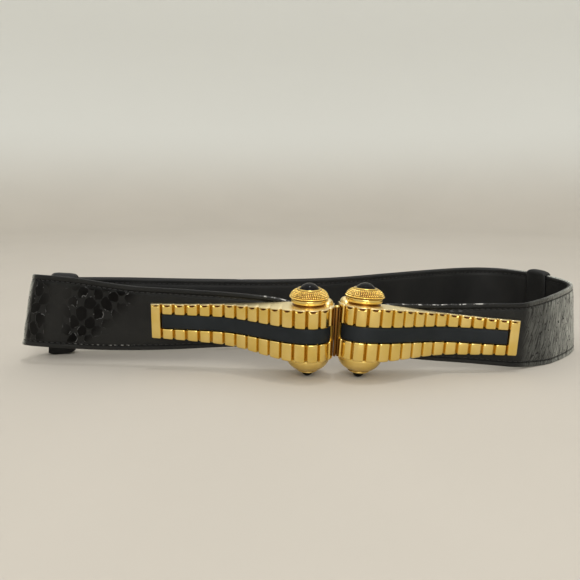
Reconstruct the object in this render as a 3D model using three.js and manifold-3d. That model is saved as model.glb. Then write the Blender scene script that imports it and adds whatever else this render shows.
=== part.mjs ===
// A snakeskin belt that stands on its lower edge, fastened by a gold clasp of two mirrored halves.
// Millimetres, +Z up. The halves meet at the seam, at x = 0 until the whole is centred at the end.
import * as THREE from 'three';
import Module from 'manifold-3d';
import { mergeVertices } from 'three/addons/utils/BufferGeometryUtils.js';

const wasm = await Module();
wasm.setup();

// Fit between pieces
const clearance = 0.3;

// Strap
const strapWidth = 40;
const skinThickness = 1.5;
const liningThickness = 1.2;
const liningInset = 0.4;
const strapStep = 5.5;

// Loop, measured from the seam and from the drums' axes
const reachLeft = 171;
const reachRight = 149.7;
const loopDepth = 103.3;

// Keepers on the back run
const keeperWidth = 14;
const keeperWall = 1.3;
const keeperHeadroom = 1;
const keeperSteps = 4;

// Clasp half: u runs out along the arm, v back from the drum's axis, w up
const armLength = 84;
const armThickness = 2.5;
const armSetBack = 2.3;
const armEndHeight = 19;
const drumRadius = 12.85;
const drumHeight = 27.3;
const swellLength = 50;
const endBarWidth = 5.5;
const seamGap = 1.9;
const seamLip = 1;
const ribCount = 15;
const ribRelief = 1.5;
const ribCrown = 0.25;
const ribShoulder = 2.4;
const grooveWidth = 1.3;
const castWall = 1.5;
const pocketReach = 20;

// Inlay and its channel
const inlayHeight = 7.5;
const inlayThickness = 1.3;
const inlayRecess = 0.6;
const inlayStart = 4.85;

// Knob above each drum
const knobRadius = 10.4;
const knobHeight = 8.2;
const topStoneRadius = 4.8;
const topStoneRise = 3;

// Bowl below each drum
const bowlRadius = 11.4;
const bowlDepth = 9;
const bottomStoneRadius = 3.1;
const bottomStoneDrop = 2;

const bezelWall = 1;
const stoneSeat = 0.9;

// Hidden hook across the seam
const hookReach = 3.2;
const hookHeight = 10;
const hookThickness = 2.6;
const hookPlay = 1;
const lugDepth = 4.5;

// How each half stands, in degrees: yaw swings its arm back, roll drops its right end, lean tips its top
const leftStance = { side: -1, yaw: -5.7, roll: 1.3, lean: 1.9 };
const rightStance = { side: 1, yaw: 2.6, roll: 4.2, lean: -2.9 };

const roundSides = 32;

// Half height of the arm along its length: at = share of armLength, rise = share of the way to the drum
const armRise = [
  { at: 1, rise: 0 },
  { at: 0.8, rise: 0.1 },
  { at: 0.6, rise: 0.3 },
  { at: 0.4, rise: 0.53 },
  { at: 0.27, rise: 0.75 },
  { at: 0.14, rise: 0.94 },
  { at: 0, rise: 1 },
];

// Outline of the knob: out = share of the way from the bezel's radius to knobRadius, up = share of
// knobHeight
const knobOutline = [
  { out: 0.71, up: 0 },
  { out: 0.76, up: 0.08 },
  { out: 0.95, up: 0.26 },
  { out: 1, up: 0.42 },
  { out: 0.83, up: 0.54 },
  { out: 0.5, up: 0.72 },
  { out: 0.06, up: 0.88 },
  { out: 0, up: 1 },
];

// Outline of the bowl: out = share of the way from the bezel's radius to bowlRadius, down = share of
// bowlDepth
const bowlOutline = [
  { out: 0.98, down: 0 },
  { out: 1, down: 0.04 },
  { out: 0.92, down: 0.24 },
  { out: 0.72, down: 0.46 },
  { out: 0.45, down: 0.66 },
  { out: 0.14, down: 0.78 },
  { out: 0.11, down: 0.84 },
  { out: 0, down: 1 },
];

// Strap behind each arm: at = share of armLength, above and below = how far its edges stand beyond the
// arm's own edges, as shares of strapWidth
const behindLeftArm = [
  { at: 0.08, above: -0.0275, below: -0.0425 },
  { at: 0.14, above: 0.015, below: -0.035 },
  { at: 0.24, above: 0.065, below: -0.01 },
  { at: 0.36, above: 0.1035, below: 0.0175 },
  { at: 0.5, above: 0.1375, below: 0.0515 },
  { at: 0.71, above: 0.173, below: 0.118 },
  { at: 0.92, above: 0.198, below: 0.178 },
  { at: 1.02, above: 0.2055, below: 0.1975 },
  { at: 1.1, above: 0.2075, below: 0.2095 },
];
const behindRightArm = [
  { at: 0.08, above: -0.0275, below: -0.04 },
  { at: 0.14, above: 0.007, below: -0.02 },
  { at: 0.24, above: 0.032, below: 0.04 },
  { at: 0.36, above: 0.0605, below: 0.0775 },
  { at: 0.5, above: 0.0975, below: 0.1045 },
  { at: 0.73, above: 0.1645, below: 0.1375 },
  { at: 0.92, above: 0.206, below: 0.163 },
  { at: 1.02, above: 0.2225, below: 0.1755 },
];

// Free run of the outer face, from the left arm round the back to the right arm. x is a share of reachLeft
// or reachRight, y of loopDepth. lift (lower edge above the ground), wide, tip (how far the top edge stands
// to the right of the lower one) and lean (how far it stands behind it) are shares of strapWidth. keeper
// names the keeper whose middle is there.
const freeRun = [
  { x: -0.737, y: 0.155, lift: 0.218, wide: 0.955, tip: 0.08, lean: -0.02 },
  { x: -0.819, y: 0.166, lift: 0.23, wide: 0.988, tip: 0.125, lean: -0.01 },
  { x: -0.892, y: 0.176, lift: 0.243, wide: 1, tip: 0.17, lean: 0 },
  { x: -0.952, y: 0.188, lift: 0.255, wide: 1, tip: 0.215, lean: 0 },
  { x: -0.986, y: 0.212, lift: 0.255, wide: 1, tip: 0.235, lean: 0 },
  { x: -1, y: 0.255, lift: 0.245, wide: 1, tip: 0.24, lean: 0 },
  { x: -0.998, y: 0.3, lift: 0.225, wide: 1, tip: 0.235, lean: 0 },
  { x: -0.982, y: 0.343, lift: 0.195, wide: 1, tip: 0.215, lean: 0 },
  { x: -0.955, y: 0.372, lift: 0.165, wide: 1, tip: 0.195, lean: 0 },
  { x: -0.915, y: 0.395, lift: 0.14, wide: 1, tip: 0.175, lean: 0, keeper: 'keeper_left' },
  { x: -0.82, y: 0.416, lift: 0.13, wide: 1, tip: 0.145, lean: 0 },
  { x: -0.7, y: 0.43, lift: 0.12, wide: 1, tip: 0.11, lean: 0 },
  { x: -0.56, y: 0.446, lift: 0.1, wide: 1, tip: 0.08, lean: 0 },
  { x: -0.4, y: 0.468, lift: 0.08, wide: 1, tip: 0.05, lean: 0 },
  { x: -0.2, y: 0.51, lift: 0.055, wide: 1, tip: 0.02, lean: 0 },
  { x: 0.03, y: 0.6, lift: 0.045, wide: 1, tip: 0, lean: 0 },
  { x: 0.266, y: 0.76, lift: 0.045, wide: 1, tip: 0, lean: 0 },
  { x: 0.492, y: 0.913, lift: 0.045, wide: 1, tip: 0, lean: 0 },
  { x: 0.61, y: 0.977, lift: 0.045, wide: 1, tip: 0, lean: 0 },
  { x: 0.709, y: 1, lift: 0.045, wide: 1, tip: 0, lean: 0 },
  { x: 0.795, y: 0.97, lift: 0.045, wide: 1, tip: 0, lean: 0 },
  { x: 0.86, y: 0.898, lift: 0.045, wide: 1, tip: -0.015, lean: 0 },
  { x: 0.93, y: 0.762, lift: 0.042, wide: 1, tip: -0.05, lean: 0, keeper: 'keeper_right' },
  { x: 0.956, y: 0.69, lift: 0.033, wide: 1, tip: -0.075, lean: 0 },
  { x: 0.985, y: 0.61, lift: 0.02, wide: 1, tip: -0.1, lean: 0 },
  { x: 1, y: 0.53, lift: 0.008, wide: 1, tip: -0.115, lean: 0 },
  { x: 0.979, y: 0.451, lift: 0, wide: 0.995, tip: -0.11, lean: 0.01 },
  { x: 0.928, y: 0.354, lift: 0, wide: 0.985, tip: -0.09, lean: 0.035 },
  { x: 0.861, y: 0.262, lift: 0, wide: 0.965, tip: -0.065, lean: 0.065 },
  { x: 0.792, y: 0.185, lift: 0, wide: 0.938, tip: -0.05, lean: 0.075 },
  { x: 0.734, y: 0.14, lift: 0.01, wide: 0.91, tip: -0.03, lean: 0.03 },
];

const skin = new THREE.MeshStandardMaterial({ color: 0x17181a, roughness: 0.28, metalness: 0 });
const lining = new THREE.MeshStandardMaterial({ color: 0x1f1f20, roughness: 0.5, metalness: 0 });
const gold = new THREE.MeshStandardMaterial({ color: 0xd4a94e, roughness: 0.2, metalness: 1 });
const slate = new THREE.MeshStandardMaterial({ color: 0x26292b, roughness: 0.45, metalness: 0 });
const onyx = new THREE.MeshStandardMaterial({ color: 0x050506, roughness: 0.06, metalness: 0 });

// Manifold helpers

function toSolid(geometry) {
  geometry.deleteAttribute('normal');
  geometry.deleteAttribute('uv');
  const merged = mergeVertices(geometry, 1e-5);
  return new wasm.Manifold(new wasm.Mesh({
    numProp: 3,
    vertProperties: new Float32Array(merged.attributes.position.array),
    triVerts: new Uint32Array(merged.index.array),
  }));
}

function toGeometry(solid) {
  const mesh = solid.getMesh();
  const geometry = new THREE.BufferGeometry();
  geometry.setAttribute('position', new THREE.BufferAttribute(mesh.vertProperties, 3));
  geometry.setIndex(new THREE.BufferAttribute(mesh.triVerts, 1));
  geometry.computeVertexNormals();
  return geometry;
}

// A plan outline in u and v, raised between two heights
function raised(points, low, high) {
  const geometry = new THREE.ExtrudeGeometry(new THREE.Shape(points), {
    depth: high - low,
    bevelEnabled: false,
    steps: 1,
  });
  return toSolid(geometry.translate(0, 0, low));
}

// A front outline in u and w, carried through between two depths
function carried(points, front, back) {
  const geometry = new THREE.ExtrudeGeometry(new THREE.Shape(points), {
    depth: back - front,
    bevelEnabled: false,
    steps: 1,
  });
  return toSolid(geometry.rotateX(Math.PI / 2).translate(0, back, 0));
}

// A turned body from a list of radius and height
function turned(profile) {
  const points = profile.map(([radius, height]) => new THREE.Vector2(radius, height));
  return toSolid(new THREE.LatheGeometry(points, roundSides).rotateX(Math.PI / 2));
}

function mix(a, b, share) {
  return a + (b - a) * share;
}

// Clasp half

const drumTop = drumHeight / 2;
const barStart = armLength - endBarWidth;

function halfHeight(u) {
  const share = THREE.MathUtils.clamp(u / armLength, 0, 1);
  for (let i = 1; i < armRise.length; i += 1) {
    const outer = armRise[i - 1];
    const inner = armRise[i];
    if (share >= inner.at) {
      const rise = mix(inner.rise, outer.rise, (share - inner.at) / (outer.at - inner.at));
      return mix(armEndHeight / 2, drumTop, rise);
    }
  }
  return drumTop;
}

// Front face of the half in plan: a quarter of the drum from the seam to its crest, the S-shaped swell,
// and the flat arm. Every point comes with the direction that faces out of the metal.
function frontPath() {
  const points = [];
  const quarterSteps = 24;
  for (let i = 0; i <= quarterSteps; i += 1) {
    const angle = (i / quarterSteps) * (Math.PI / 2);
    points.push(new THREE.Vector2(-drumRadius * Math.cos(angle), -drumRadius * Math.sin(angle)));
  }
  const swellSteps = 40;
  for (let i = 1; i <= swellSteps; i += 1) {
    const share = i / swellSteps;
    const ease = 1 - share * share * (3 - 2 * share);
    points.push(new THREE.Vector2(swellLength * share, armSetBack - (drumRadius + armSetBack) * ease));
  }
  const flatSteps = 8;
  for (let i = 1; i <= flatSteps; i += 1) {
    points.push(new THREE.Vector2(mix(swellLength, barStart, i / flatSteps), armSetBack));
  }
  return points;
}

const facePoints = frontPath();
const faceLengths = [0];
for (let i = 1; i < facePoints.length; i += 1) {
  faceLengths.push(faceLengths[i - 1] + facePoints[i].distanceTo(facePoints[i - 1]));
}
const faceLength = faceLengths[faceLengths.length - 1];

// Point on the front face at a distance from the seam, moved out of the metal by a height
function onFace(distance, height) {
  const goal = THREE.MathUtils.clamp(distance, 0, faceLength);
  let i = 1;
  while (i < facePoints.length - 1 && faceLengths[i] < goal) {
    i += 1;
  }
  const a = facePoints[i - 1];
  const b = facePoints[i];
  const share = (goal - faceLengths[i - 1]) / (faceLengths[i] - faceLengths[i - 1]);
  const along = b.clone().sub(a).normalize();
  const out = new THREE.Vector2(along.y, -along.x);
  return a.clone().lerp(b, share).addScaledVector(out, height);
}

function facePart(from, to, height, count) {
  const points = [];
  for (let i = 0; i <= count; i += 1) {
    points.push(onFace(mix(from, to, i / count), height));
  }
  return points;
}

const armBack = armSetBack + armThickness;
const channelDepth = inlayRecess + inlayThickness + clearance;
const pocketDepth = channelDepth + castWall;
const quarterLength = (drumRadius * Math.PI) / 2;
const pitch = faceLength / ribCount;

function claspBody() {
  const plan = [new THREE.Vector2(-drumRadius, armBack)];
  for (let i = 0; i < ribCount; i += 1) {
    const start = i * pitch;
    const end = start + pitch;
    plan.push(onFace(start, i === 0 ? 0 : -ribRelief));
    plan.push(onFace(start + grooveWidth / 2, 0));
    plan.push(onFace(start + ribShoulder, ribCrown));
    plan.push(onFace(end - ribShoulder, ribCrown));
    plan.push(onFace(end - grooveWidth / 2, 0));
  }
  plan.push(onFace(faceLength, -ribRelief));
  plan.push(new THREE.Vector2(barStart + grooveWidth / 2, armSetBack - ribCrown));
  plan.push(new THREE.Vector2(armLength, armSetBack - ribCrown));
  plan.push(new THREE.Vector2(armLength, armBack));

  const upper = armRise.map((row) => new THREE.Vector2(row.at * armLength, halfHeight(row.at * armLength)));
  upper.push(new THREE.Vector2(-drumRadius - ribCrown, drumTop));
  const lower = upper.map((point) => new THREE.Vector2(point.x, -point.y)).reverse();
  const front = -drumRadius - armLength;
  let body = raised(plan, -drumHeight, drumHeight).intersect(carried([...upper, ...lower], front, armLength));

  const channel = [
    new THREE.Vector2(-drumRadius + seamLip, front),
    new THREE.Vector2(-drumRadius + seamLip, 0),
    ...facePart(0, quarterLength, -channelDepth, 10),
    ...facePart(quarterLength, faceLength, -channelDepth, 24).slice(1),
    new THREE.Vector2(barStart, front),
  ];
  const channelHalf = inlayHeight / 2 + clearance;
  body = body.subtract(raised(channel, -channelHalf, channelHalf));

  const pocketEnd = quarterLength + pocketReach;
  const pocket = [
    ...facePart(0, pocketEnd, -pocketDepth, 14),
    new THREE.Vector2(onFace(pocketEnd, -pocketDepth).x, armBack + armThickness),
    new THREE.Vector2(-drumRadius + pocketDepth, armBack + armThickness),
  ];
  const pocketHalf = halfHeight(pocketReach) - castWall;
  body = body.subtract(raised(pocket, -pocketHalf, pocketHalf));

  const slotDepth = hookThickness / 2 + hookPlay;
  const slotHalf = hookHeight / 2 + hookPlay;
  const slot = [
    new THREE.Vector2(-drumRadius - seamGap, -slotDepth),
    new THREE.Vector2(-drumRadius + hookReach + hookPlay, -slotDepth),
    new THREE.Vector2(-drumRadius + hookReach + hookPlay, slotDepth),
    new THREE.Vector2(-drumRadius - seamGap, slotDepth),
  ];
  return body.subtract(raised(slot, -slotHalf, slotHalf));
}

// Turned foot of the drum, from inside its end out to a bezel that holds a stone: rows of radius and of
// height beyond the drum's end
function footProfile(outline, bezelRadius, height) {
  const seat = drumTop + height - stoneSeat;
  return [
    [0, drumTop - castWall / 2],
    [outline[0][0], drumTop - castWall / 2],
    ...outline.slice(1).map(([radius, rise]) => [radius, drumTop + rise]),
    [bezelRadius - bezelWall, drumTop + height],
    [bezelRadius - bezelWall, seat],
    [0, seat],
  ];
}

// Turban knob with its bezel, standing on the drum's top
function knob() {
  const bezelRadius = topStoneRadius + clearance + bezelWall;
  const outline = knobOutline.map(({ out, up }) => [mix(bezelRadius, knobRadius, out), knobHeight * up]);
  return turned(footProfile(outline, bezelRadius, knobHeight));
}

// Smooth bowl with its bezel, hanging below the drum
function bowl() {
  const bezelRadius = bottomStoneRadius + clearance + bezelWall;
  const outline = bowlOutline.map(({ out, down }) => [mix(bezelRadius, bowlRadius, out), bowlDepth * down]);
  const profile = footProfile(outline, bezelRadius, bowlDepth);
  return turned(profile.map(([radius, height]) => [radius, -height]).reverse());
}

// Cabochon: a short cylinder in the bezel and a dome above its rim, standing up (1) or hanging (-1)
function cabochon(radius, rim, rise, direction) {
  const foot = rim - stoneSeat + clearance;
  const profile = [[0, foot], [radius, foot], [radius, rim]];
  const domeSteps = 5;
  for (let i = 1; i < domeSteps; i += 1) {
    const angle = (i / domeSteps) * (Math.PI / 2);
    profile.push([radius * Math.cos(angle), rim + rise * Math.sin(angle)]);
  }
  profile.push([0, rim + rise]);
  const pointed = profile.map(([r, height]) => [r, height * direction]);
  return toGeometry(turned(direction > 0 ? pointed : pointed.reverse()));
}

function inlay() {
  const end = faceLength - clearance;
  const steps = 30;
  const outer = facePart(inlayStart, end, -inlayRecess, steps);
  const inner = facePart(inlayStart, end, -inlayRecess - inlayThickness, steps).reverse();
  return toGeometry(raised([...outer, ...inner], -inlayHeight / 2, inlayHeight / 2));
}

// A geometry mirrored to the other side of the seam, its faces still pointing out
function mirrored(geometry) {
  const copy = geometry.clone();
  copy.scale(-1, 1, 1);
  const index = copy.index.array;
  for (let i = 0; i < index.length; i += 3) {
    const first = index[i];
    index[i] = index[i + 1];
    index[i + 1] = first;
  }
  copy.computeVertexNormals();
  return copy;
}

// Each half stands on the dome of its bottom stone, however it is tilted
function stand(group, stance) {
  const { degToRad } = THREE.MathUtils;
  group.rotation.set(degToRad(stance.lean), degToRad(stance.roll), degToRad(stance.yaw), 'ZYX');
  const upright = Math.cos(degToRad(stance.lean)) * Math.cos(degToRad(stance.roll));
  const sideways = Math.sqrt(1 - upright * upright);
  const height = (drumTop + bowlDepth) * upright
    + Math.hypot(bottomStoneDrop * upright, bottomStoneRadius * sideways);
  group.position.set(stance.side * (drumRadius + seamGap / 2), 0, height);
  group.updateMatrix();
  return group;
}

const bodyGeometry = toGeometry(claspBody().add(knob()).add(bowl()));
const inlayGeometry = inlay();
const topStoneGeometry = cabochon(topStoneRadius, drumTop + knobHeight, topStoneRise, 1);
const bottomStoneGeometry = cabochon(bottomStoneRadius, drumTop + bowlDepth, bottomStoneDrop, -1);

function claspHalf(stance, name) {
  const group = stand(new THREE.Group(), stance);
  const pieces = [
    [`clasp_${name}`, bodyGeometry, gold],
    [`inlay_${name}`, inlayGeometry, slate],
    [`stone_top_${name}`, topStoneGeometry, onyx],
    [`stone_bottom_${name}`, bottomStoneGeometry, onyx],
  ];
  for (const [pieceName, geometry, material] of pieces) {
    const shaped = stance.side < 0 ? mirrored(geometry) : geometry;
    const mesh = new THREE.Mesh(shaped, material);
    mesh.name = pieceName;
    group.add(mesh);
  }
  return group;
}

// Hook: a tongue through both slots and a lug that shows in the seam beside the knobs
function hook() {
  const across = seamGap / 2 + hookReach;
  const lugAcross = (seamGap - clearance * 2) / 2;
  const tongue = raised([
    new THREE.Vector2(-across, -hookThickness / 2),
    new THREE.Vector2(across, -hookThickness / 2),
    new THREE.Vector2(across, hookThickness / 2),
    new THREE.Vector2(-across, hookThickness / 2),
  ], -hookHeight / 2, hookHeight / 2);
  const lug = raised([
    new THREE.Vector2(-lugAcross, -lugDepth),
    new THREE.Vector2(lugAcross, -lugDepth),
    new THREE.Vector2(lugAcross, hookThickness / 2),
    new THREE.Vector2(-lugAcross, hookThickness / 2),
  ], 0, drumTop);
  const mesh = new THREE.Mesh(toGeometry(tongue.add(lug)), gold);
  mesh.name = 'clasp_hook';
  const group = stand(new THREE.Group(), {
    side: 0,
    yaw: (leftStance.yaw + rightStance.yaw) / 2,
    roll: (leftStance.roll + rightStance.roll) / 2,
    lean: (leftStance.lean + rightStance.lean) / 2,
  });
  const seamFaces = [leftStance, rightStance].map((stance) => {
    const place = stand(new THREE.Group(), stance).matrix;
    return new THREE.Vector3(-stance.side * drumRadius, 0, 0).applyMatrix4(place);
  });
  group.position.copy(seamFaces[0]).lerp(seamFaces[1], 0.5);
  group.add(mesh);
  return group;
}

// Strap

// Lower and upper point of the outer face behind one arm
function armStation(row, stance) {
  const place = stand(new THREE.Group(), stance).matrix;
  const u = row.at * armLength * stance.side;
  const v = armBack + clearance;
  const armEdge = halfHeight(row.at * armLength);
  return {
    low: new THREE.Vector3(u, v, -armEdge - row.below * strapWidth).applyMatrix4(place),
    high: new THREE.Vector3(u, v, armEdge + row.above * strapWidth).applyMatrix4(place),
  };
}

function freeStation(row) {
  const x = row.x * (row.x < 0 ? reachLeft : reachRight);
  const y = row.y * loopDepth;
  const halfTip = (row.tip * strapWidth) / 2;
  const halfLean = (row.lean * strapWidth) / 2;
  const low = row.lift * strapWidth;
  return {
    low: new THREE.Vector3(x - halfTip, y - halfLean, low),
    high: new THREE.Vector3(x + halfTip, y + halfLean, low + row.wide * strapWidth),
  };
}

const stations = [
  ...behindLeftArm.map((row) => armStation(row, leftStance)),
  ...freeRun.map(freeStation),
  ...behindRightArm.map((row) => armStation(row, rightStance)).reverse(),
];
const lowEdge = new THREE.CatmullRomCurve3(stations.map((station) => station.low), false, 'centripetal');
const highEdge = new THREE.CatmullRomCurve3(stations.map((station) => station.high), false, 'centripetal');
const lastStation = stations.length - 1;

// The strap's section at a place counted in stations: its edges, the way up and the way into the loop
function sectionAt(place) {
  const share = THREE.MathUtils.clamp(place / lastStation, 0, 1);
  const low = lowEdge.getPoint(share);
  const high = highEdge.getPoint(share);
  const up = high.clone().sub(low).normalize();
  const along = lowEdge.getTangent(share).add(highEdge.getTangent(share)).normalize();
  const inward = along.clone().cross(up).normalize();
  return { low, high, up, along, inward };
}

function strapPlaces() {
  const places = [0];
  for (let i = 0; i < lastStation; i += 1) {
    const span = stations[i].low.distanceTo(stations[i + 1].low);
    const steps = Math.max(1, Math.round(span / strapStep));
    for (let k = 1; k <= steps; k += 1) {
      places.push(i + k / steps);
    }
  }
  return places;
}

// Closed body through a row of loops with equal counts of points. Where the loops are rings, each is
// an outer loop followed by an inner one of as many points.
function lofted(loops, isRing) {
  const count = loops[0].length;
  const positions = loops.flat().flatMap((point) => [point.x, point.y, point.z]);
  const index = [];
  const quad = (a, b, c, d) => index.push(a, c, b, a, d, c);
  const parts = isRing ? [[0, count / 2, 1], [count / 2, count / 2, -1]] : [[0, count, 1]];
  for (let i = 0; i < loops.length - 1; i += 1) {
    for (const [first, size, way] of parts) {
      for (let k = 0; k < size; k += 1) {
        const a = i * count + first + k;
        const b = i * count + first + ((k + 1) % size);
        const c = b + count;
        const d = a + count;
        if (way > 0) {
          quad(a, b, c, d);
        } else {
          quad(d, c, b, a);
        }
      }
    }
  }
  const end = (loops.length - 1) * count;
  if (isRing) {
    const size = count / 2;
    for (let k = 0; k < size; k += 1) {
      const next = (k + 1) % size;
      quad(k + size, next + size, next, k);
      quad(end + k, end + next, end + next + size, end + k + size);
    }
  } else {
    for (let k = 1; k < count - 1; k += 1) {
      index.push(0, k, k + 1);
      index.push(end, end + k + 1, end + k);
    }
  }
  const geometry = new THREE.BufferGeometry();
  geometry.setAttribute('position', new THREE.Float32BufferAttribute(positions, 3));
  geometry.setIndex(index);
  geometry.computeVertexNormals();
  return geometry;
}

// A point off a section's lower or upper edge: so deep into the loop, and so far beyond the edge, but
// never below the ground
function offEdge(section, edge, depth, beyond) {
  const way = edge === 'low' ? -1 : 1;
  const point = section[edge].clone();
  point.addScaledVector(section.inward, depth).addScaledVector(section.up, way * beyond);
  point.z = Math.max(point.z, 0);
  return point;
}

// The same off the lower edge, but carried on down to a height above the ground
function downTo(section, depth, height) {
  const point = offEdge(section, 'low', depth, 0);
  return point.addScaledVector(section.up, (height - point.z) / section.up.z);
}

function strapLayer(name, material, outer, inner, inset) {
  const loops = strapPlaces().map((place) => {
    const section = sectionAt(place);
    return [
      offEdge(section, 'low', outer, -inset),
      offEdge(section, 'low', inner, -inset),
      offEdge(section, 'high', inner, -inset),
      offEdge(section, 'high', outer, -inset),
    ];
  });
  const mesh = new THREE.Mesh(lofted(loops, false), material);
  mesh.name = name;
  return mesh;
}

const liningFront = skinThickness + clearance;
const strapThickness = liningFront + liningThickness;

// A keeper hugs both faces of the strap, has headroom above it and stands on the ground below it
function keeper(name, place) {
  const spanAhead = stations[place].low.distanceTo(stations[place + 1].low);
  const spanBehind = stations[place].low.distanceTo(stations[place - 1].low);
  const loops = [];
  for (let i = 0; i <= keeperSteps; i += 1) {
    const offset = keeperWidth * (i / keeperSteps - 0.5);
    const section = sectionAt(place + offset / (offset < 0 ? spanBehind : spanAhead));
    const front = -clearance;
    const back = strapThickness + clearance;
    loops.push([
      downTo(section, front - keeperWall, 0),
      downTo(section, back + keeperWall, 0),
      offEdge(section, 'high', back + keeperWall, keeperHeadroom + keeperWall),
      offEdge(section, 'high', front - keeperWall, keeperHeadroom + keeperWall),
      downTo(section, front, keeperWall),
      downTo(section, back, keeperWall),
      offEdge(section, 'high', back, keeperHeadroom),
      offEdge(section, 'high', front, keeperHeadroom),
    ]);
  }
  const mesh = new THREE.Mesh(lofted(loops, true), skin);
  mesh.name = name;
  return mesh;
}

const belt = new THREE.Group();
belt.add(strapLayer('strap', skin, 0, skinThickness, 0));
belt.add(strapLayer('strap_lining', lining, liningFront, strapThickness, liningInset));
freeRun.forEach((row, i) => {
  if (row.keeper) {
    belt.add(keeper(row.keeper, behindLeftArm.length + i));
  }
});
belt.add(claspHalf(leftStance, 'left'));
belt.add(claspHalf(rightStance, 'right'));
belt.add(hook());

// The whole stands on z = 0 with the middle of its box over the origin
const box = new THREE.Box3().setFromObject(belt, true);
const middle = box.getCenter(new THREE.Vector3());
belt.position.set(-middle.x, -middle.y, -box.min.z);

const group = new THREE.Group();
group.add(belt);
group.updateMatrixWorld(true);

export default group;
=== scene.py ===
"""Looks of a snakeskin belt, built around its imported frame.

The strap, lining, keepers, clasp halves, inlays and stones are modelled here in fine detail and stand in
the places that the frame gives. Sizes are in millimetres until a piece is settled in the frame.
"""
import math
import random

import bmesh
import bpy
import numpy as np
from mathutils import Matrix, Vector


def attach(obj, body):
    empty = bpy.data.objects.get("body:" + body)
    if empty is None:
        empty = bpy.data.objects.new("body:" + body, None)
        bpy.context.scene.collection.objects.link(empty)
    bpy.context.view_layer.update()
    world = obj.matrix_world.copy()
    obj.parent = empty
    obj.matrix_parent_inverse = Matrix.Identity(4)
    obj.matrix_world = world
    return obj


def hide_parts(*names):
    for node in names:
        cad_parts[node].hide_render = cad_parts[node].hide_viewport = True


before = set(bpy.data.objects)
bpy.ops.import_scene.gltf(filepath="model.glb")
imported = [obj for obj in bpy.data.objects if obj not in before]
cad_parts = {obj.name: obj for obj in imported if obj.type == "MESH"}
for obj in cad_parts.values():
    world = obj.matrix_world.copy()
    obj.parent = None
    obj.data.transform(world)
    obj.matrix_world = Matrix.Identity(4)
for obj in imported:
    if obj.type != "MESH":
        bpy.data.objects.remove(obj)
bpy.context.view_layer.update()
bpy.ops.object.select_all(action="DESELECT")

MM = 0.001
BODY = "root"
chance = random.Random(7)

# Strap
skin_depth = 1.5
edge_round = 0.6
pad_height = 0.35
stitch_inset = 3.0
stitch_free_end = 30
stitch_dent = 0.42
stitch_spacing = 3.1
stitch_length = 2.3
stitch_radius = 0.24
scale_relief = 0.07
scale_long_left = 11.5
scale_long_right = 4.6
scale_tall = 11.0
route_ease = 3.5
skin_step = 0.75
skin_rows = 56

# Lining
lining_depth = 1.2
lining_round = 0.4
lining_stitch_inset = stitch_inset - 0.4
lining_crown = 0.12
lining_step = 1.4
lining_rows = 36

# Clasp half: u out along the arm, v back from the drum's axis, w up
arm_length = 84.0
arm_thickness = 2.5
arm_set_back = 2.3
arm_end_height = 19.0
drum_radius = 12.85
drum_height = 27.3
swell_length = 50.0
end_bar_width = 5.5
seam_lip = 1.0
rib_count = 15
rib_relief = 1.5
rib_crown = 0.3
pocket_depth = 3.7
pocket_reach = 20.0
cast_wall = 1.5
plate_height = 0.6
rib_scoop = 0.95
rib_end_curve = 0.45
rib_end_round = 0.95
rail_edge_round = 0.6
rim_round = 0.3
frame_rib_crown = 0.25
shoulder_size = (3.1, 3.6, 3.3)
shoulder_place = (-9.3, 2.2, drum_height / 2 - 0.1)

# Keepers
keeper_wide = 15.0
keeper_wall = 1.3
keeper_corner = 1.5
keeper_shoulder = 5.5
keeper_droop = 1.7
keeper_headroom = 1.0
keeper_foot_droop = 1.9
KEEPER_SLANTS = (("keeper_left", 2.7), ("keeper_right", 0.0))

# Inlay and its channel
inlay_height = 7.5
inlay_thickness = 1.3
inlay_recess = 0.6
inlay_start = 4.85
clearance = 0.3
channel_floor = inlay_recess + inlay_thickness + clearance

# Knob, bowl and stones
knob_height = 8.5
bowl_radius = 11.4
bowl_depth = 8.3
top_stone_radius = 4.8
top_stone_rise = 2.6
bottom_stone_radius = 3.1
bottom_stone_drop = 2.7
bezel_wall = 1.0
stone_seat = 0.9
bead_radius = 0.5
rim_bead_radius = 0.33
bead_pitch = 2.15

# Cloth that the belt stands on, sweeping up all round
floor_radius = 900.0
cove_radius = 500.0
wall_height = 1300.0
sky_strength = 1.15

# Camera: place in metres, degrees down from level, sensor and lens in millimetres
camera_place = (-0.0113, -0.3237, 0.0992)
camera_drop = 10.88
sensor_width = 36
camera_lens = sensor_width * 560 / 580

# Lamps: name, place in metres, size, power, all turned to one spot on the belt
LAMPS = (
    ("overhead", (0.06, -0.02, 1.25), 0.05, 2.2),
    ("window", (0.1, -1.15, 0.75), 0.7, 8.0),
)
LAMP_TARGET = (0, -0.03, 0.02)

# Where the scales are bold: distance along the strap, reach at the foot and at the top, strength, lean
BOLD_PLACES = ((112, 5, 21, 1.0, -22), (143, 6, 7, 0.8, 0))

# Where the top edge is worn pale: distance from the strap's start (or, below 0, from its end), reach
WORN_PLACES = ((14, 11), (-40, 24), (-10, 9))

# Where the outer thread is painted pale as a highlight, in metres: rising and falling across, and the
# height it ends at
THREAD_HIGHLIGHT_PLACES = ((-0.134, -0.124), (-0.098, -0.088), (0.018, 0.022))

# Half height of the arm: share of the arm's length, share of the way up to the drum
ARM_RISE = ((0, 1), (0.14, 0.94), (0.27, 0.75), (0.4, 0.53), (0.6, 0.3), (0.8, 0.1), (1, 0))


# Materials: shader maths is written as Python expressions on Field values


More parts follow.
